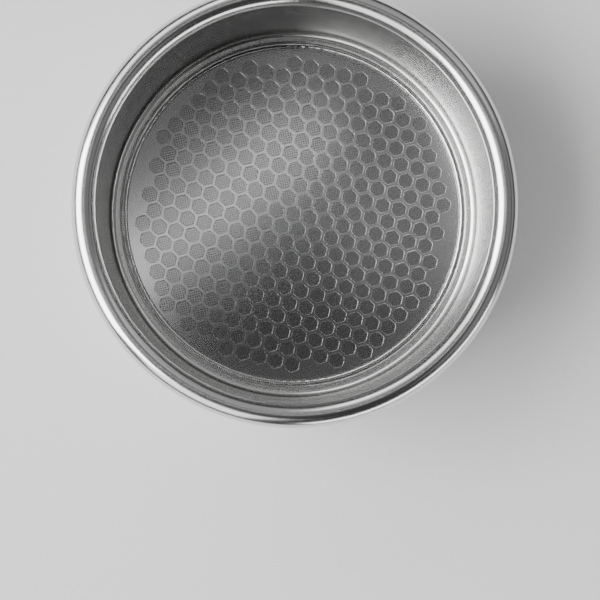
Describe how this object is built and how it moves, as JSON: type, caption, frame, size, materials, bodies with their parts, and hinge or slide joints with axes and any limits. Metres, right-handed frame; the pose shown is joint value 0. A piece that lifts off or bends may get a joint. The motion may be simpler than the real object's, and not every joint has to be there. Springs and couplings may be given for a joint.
{
  "type": "espresso filter basket",
  "caption": "Round steel filter basket with a straight wall, a rolled rim and an etched honeycomb filter disc welded inside its foot.",
  "frame": {"origin": "centre of the flat face that the basket stands on", "axes": "+Z along the basket's axis towards its open mouth; the rows of cells lie 13.5 degrees clockwise of +X"},
  "size_m": [0.0608, 0.0608, 0.026],
  "materials": {
    "cup_steel": "satin polish with fine marks round the axis",
    "disc_steel": "matt, etched"
  },
  "bodies": {
    "root": {"cup": "cup_steel", "filter_disc": "disc_steel"}
  },
  "joints": []
}
